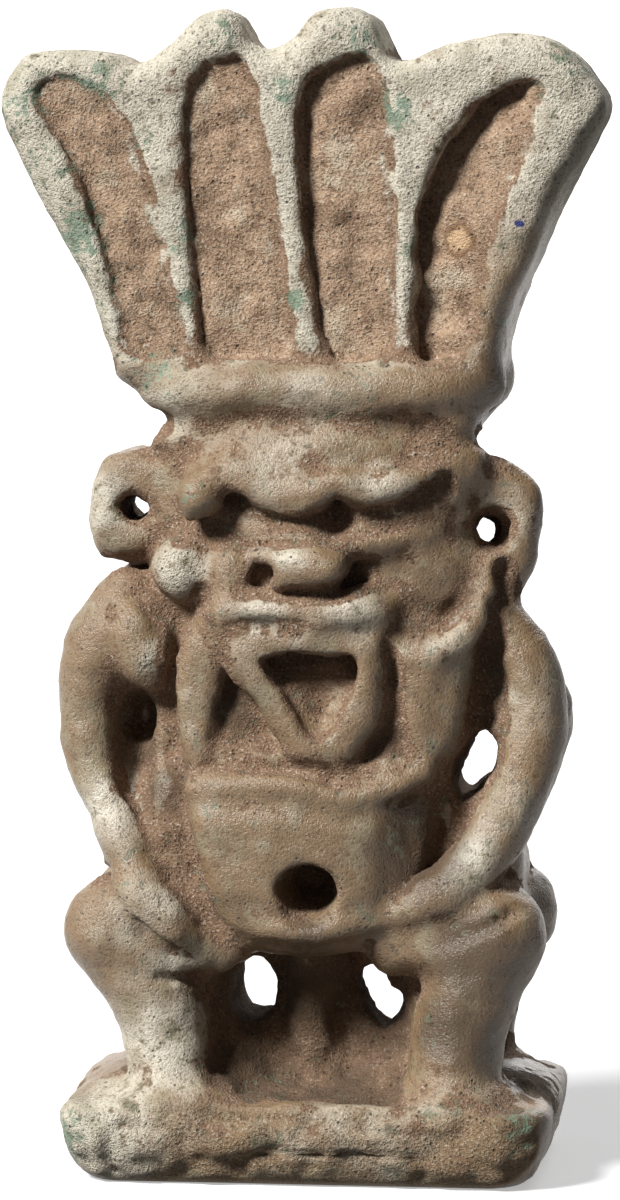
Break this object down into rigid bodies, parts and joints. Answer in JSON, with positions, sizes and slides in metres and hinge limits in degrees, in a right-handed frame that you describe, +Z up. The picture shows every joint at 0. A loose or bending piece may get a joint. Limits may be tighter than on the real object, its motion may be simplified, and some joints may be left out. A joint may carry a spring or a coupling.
{
  "type": "bes figure",
  "caption": "Small moulded faience amulet of the dwarf god Bes: tall feather crown, round pierced ears, hands on the thighs and short bent legs, back to back with a like figure on a low base.",
  "frame": {"origin": "centre of the bounding box on the underside of the base", "axes": "+Z up to the feather tips, -Y the way the front figure faces, +X the viewer's right"},
  "size_m": [0.026, 0.015, 0.05],
  "materials": {
    "faience": "worn, faded glaze with brown dirt in the hollows"
  },
  "bodies": {
    "root": {"bes_figure": "faience"}
  },
  "joints": []
}
